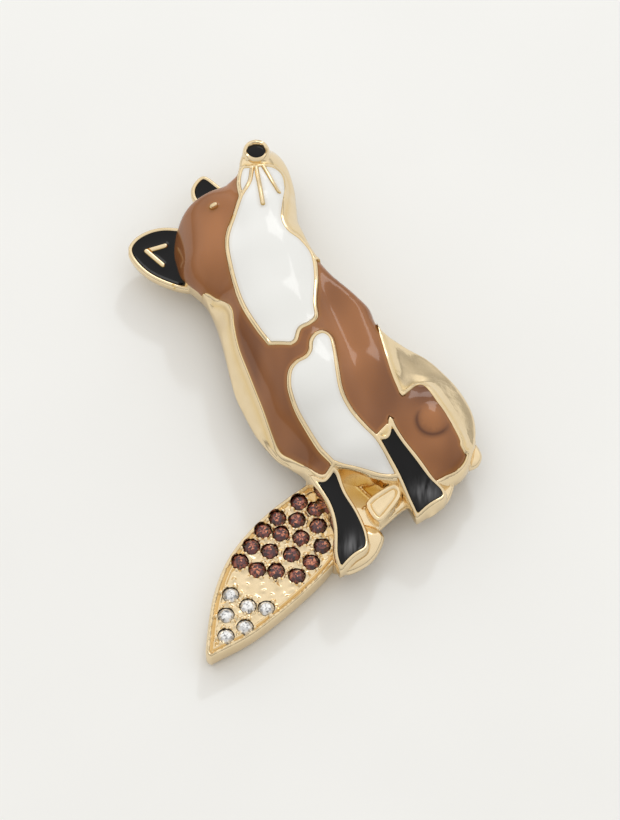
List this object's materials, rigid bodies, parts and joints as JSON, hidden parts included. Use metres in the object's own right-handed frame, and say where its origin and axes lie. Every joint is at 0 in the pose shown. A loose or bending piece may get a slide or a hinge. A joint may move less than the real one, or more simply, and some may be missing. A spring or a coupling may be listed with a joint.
{
  "type": "figural fox brooch",
  "caption": "Brooch in the form of a seated fox looking up, a gilt casting with brown, white and black enamel and a tail set with stones, and a pin across the back.",
  "frame": {"origin": "Middle of the outline, on the surface that the brooch lies on.", "axes": "+Z out of the face, +Y towards the nose, +X to the right as seen from the front."},
  "size_m": [0.0354, 0.0568, 0.0094],
  "materials": {
    "gold": "polished pale gold plating, softly worn on the edges",
    "enamel_brown": "glossy brown enamel with a faint pearl",
    "enamel_white": "glossy opaque white enamel",
    "enamel_black": "glossy black enamel",
    "stone_brown": "faceted smoky brown glass with a foiled back",
    "stone_clear": "faceted clear glass with a foiled back",
    "pin_metal": "plain gold plated findings"
  },
  "bodies": {
    "root": {"casting": "gold", "enamel_coat": "enamel_brown", "enamel_throat": "enamel_white", "enamel_lip": "enamel_white", "enamel_chest": "enamel_white", "enamel_stocking_right": "enamel_black", "enamel_stocking_left": "enamel_black", "enamel_ear_near": "enamel_black", "enamel_ear_far": "enamel_black", "enamel_nose": "enamel_black", "pin_back": "pin_metal", "stone_brown_1": "stone_brown", "stone_brown_2": "stone_brown", "stone_brown_3": "stone_brown", "stone_brown_4": "stone_brown", "stone_brown_5": "stone_brown", "stone_brown_6": "stone_brown", "stone_brown_7": "stone_brown", "stone_brown_8": "stone_brown", "stone_brown_9": "stone_brown", "stone_brown_10": "stone_brown", "stone_brown_11": "stone_brown", "stone_brown_12": "stone_brown", "stone_brown_13": "stone_brown", "stone_brown_14": "stone_brown", "stone_brown_15": "stone_brown", "stone_brown_16": "stone_brown", "stone_brown_17": "stone_brown", "stone_clear_1": "stone_clear", "stone_clear_2": "stone_clear", "stone_clear_3": "stone_clear", "stone_clear_4": "stone_clear", "stone_clear_5": "stone_clear", "stone_clear_6": "stone_clear"}
  },
  "joints": []
}
